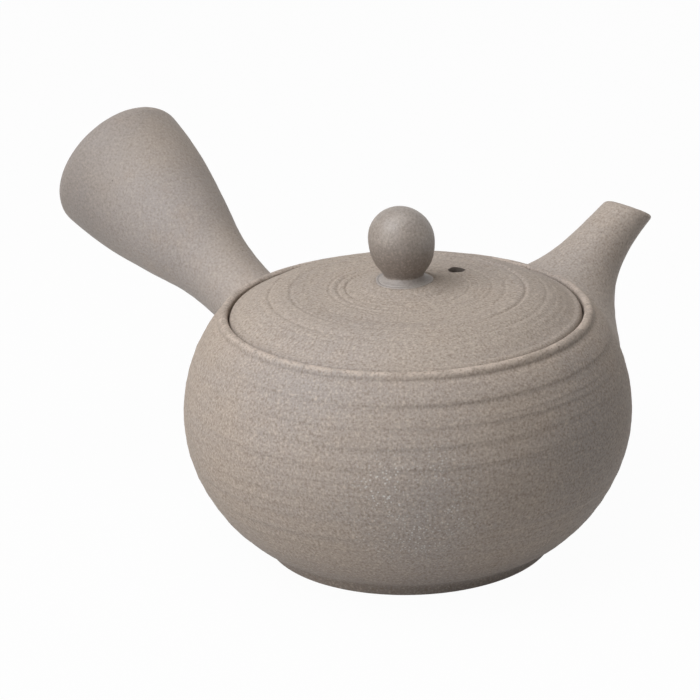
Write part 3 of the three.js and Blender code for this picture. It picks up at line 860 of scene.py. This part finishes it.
TABLE_HALF, TABLE_DROP = 3.0, 0.0002
PAPER_COLOUR = (0.58, 0.58, 0.58, 1)
PAPER_SHOWN_WHITE = 0.97
LAMPS_AIM_Z, CAMERA_AIM_Z = 0.045, 0.04
CAMERA_TURN = math.radians(-44)
CAMERA_RISE = math.radians(21.03)
CAMERA_ROLL = math.radians(-1.108)
CAMERA_FAR = 0.8
FILM_WIDTH_MM = 36

# In pixels of the photograph: its width, the lens's length, and how far the camera's aim lies
# to the right of the picture's middle and below it
PICTURE_PX = 700
LENS_PX = 3014.4
AIM_RIGHT_PX, AIM_DOWN_PX = 57.26, 48.33


def seen(right, away, up):
    """A place given as the camera sees it, in metres from the middle of the foot."""
    ahead = Vector((-math.sin(CAMERA_TURN), math.cos(CAMERA_TURN), 0))
    across = Vector((math.cos(CAMERA_TURN), math.sin(CAMERA_TURN), 0))
    return across * right + ahead * away + Vector((0, 0, up))


def sees_white(tree):
    """1 for rays that show the background: the camera's own, glossy ones and see-through ones."""
    rays = tree.nodes.new("ShaderNodeLightPath")
    total = rays.outputs["Is Camera Ray"]
    for kind in ("Is Glossy Ray", "Is Transmission Ray"):
        either = tree.nodes.new("ShaderNodeMath")
        either.operation = "MAXIMUM"
        tree.links.new(total, either.inputs[0])
        tree.links.new(rays.outputs[kind], either.inputs[1])
        total = either.outputs[0]
    return total


table_mesh = bpy.data.meshes.new("table_sheet")
corners = [(x * TABLE_HALF, y * TABLE_HALF, -TABLE_DROP)
           for x, y in ((-1, -1), (1, -1), (1, 1), (-1, 1))]
table_mesh.from_pydata(corners, [], [(0, 1, 2, 3)])
table = bpy.data.objects.new("table_sheet", table_mesh)
bpy.context.scene.collection.objects.link(table)
paper = bpy.data.materials.new("white_paper")
paper.use_nodes = True
tree = paper.node_tree
tree.nodes.clear()
shade = tree.nodes.new("ShaderNodeBsdfDiffuse")
shade.inputs["Color"].default_value = PAPER_COLOUR
white = tree.nodes.new("ShaderNodeEmission")
white.inputs["Color"].default_value = (1, 1, 1, 1)
most = tree.nodes.new("ShaderNodeMath")
most.operation = "MULTIPLY"
most.inputs[1].default_value = PAPER_SHOWN_WHITE
tree.links.new(sees_white(tree), most.inputs[0])
blend = tree.nodes.new("ShaderNodeMixShader")
tree.links.new(most.outputs[0], blend.inputs["Fac"])
tree.links.new(shade.outputs["BSDF"], blend.inputs[1])
tree.links.new(white.outputs["Emission"], blend.inputs[2])
end = tree.nodes.new("ShaderNodeOutputMaterial")
tree.links.new(blend.outputs["Shader"], end.inputs["Surface"])
table_mesh.materials.append(paper)

world = bpy.data.worlds.new("studio")
bpy.context.scene.world = world
world.use_nodes = True
tree = world.node_tree
tree.nodes.clear()
backdrop = tree.nodes.new("ShaderNodeBackground")
backdrop.inputs["Color"].default_value = (1, 1, 1, 1)
tree.links.new(sees_white(tree), backdrop.inputs["Strength"])
end = tree.nodes.new("ShaderNodeOutputWorld")
tree.links.new(backdrop.outputs["Background"], end.inputs["Surface"])


def lamp(name, place, size, watts, colour):
    """A round soft lamp that faces the middle of the pot."""
    light = bpy.data.lights.new(name, "AREA")
    light.shape = "DISK"
    light.size = size
    light.energy = watts
    light.color = colour
    holder = bpy.data.objects.new(name, light)
    holder.location = place
    target = Vector((0, 0, LAMPS_AIM_Z))
    holder.rotation_euler = (target - place).to_track_quat("-Z", "Y").to_euler()
    bpy.context.scene.collection.objects.link(holder)


lamp("soft_lamp", seen(-0.65, -0.45, 1.1), size=1.25, watts=15.5, colour=(0.95, 0.97, 1.0))
lamp("top_lamp", seen(0.1, 0.1, 1.3), size=1.0, watts=5.0, colour=(1.0, 0.97, 0.92))
lamp("low_lamp", seen(-1.1, -0.5, 0.14), size=0.8, watts=3.6, colour=(1.0, 0.96, 0.9))
lamp("front_lamp", seen(-0.55, -1.05, 0.12), size=0.8, watts=2.5, colour=(1.0, 1.0, 1.0))
lamp("side_lamp", seen(1.3, -0.1, 0.2), size=0.8, watts=1.4, colour=(1.0, 0.97, 0.93))

camera_data = bpy.data.cameras.new("camera")
camera_data.sensor_width = FILM_WIDTH_MM
camera_data.lens = FILM_WIDTH_MM * LENS_PX / PICTURE_PX
camera = bpy.data.objects.new("camera", camera_data)
middle = Vector((0, 0, CAMERA_AIM_Z))
camera.location = seen(0, -CAMERA_FAR * math.cos(CAMERA_RISE), 0) + middle
camera.location.z += CAMERA_FAR * math.sin(CAMERA_RISE)
level = (middle - camera.location).to_track_quat("-Z", "Y").to_matrix()
roll = Matrix.Rotation(CAMERA_ROLL, 3, "Z")
aside = Vector((AIM_RIGHT_PX, -AIM_DOWN_PX, -LENS_PX)).normalized()
aim = aside.rotation_difference(Vector((0, 0, -1))).to_matrix()
camera.rotation_euler = (level @ roll @ aim).to_euler()
bpy.context.scene.collection.objects.link(camera)
bpy.context.scene.camera = camera
bpy.context.scene.view_settings.view_transform = "Standard"
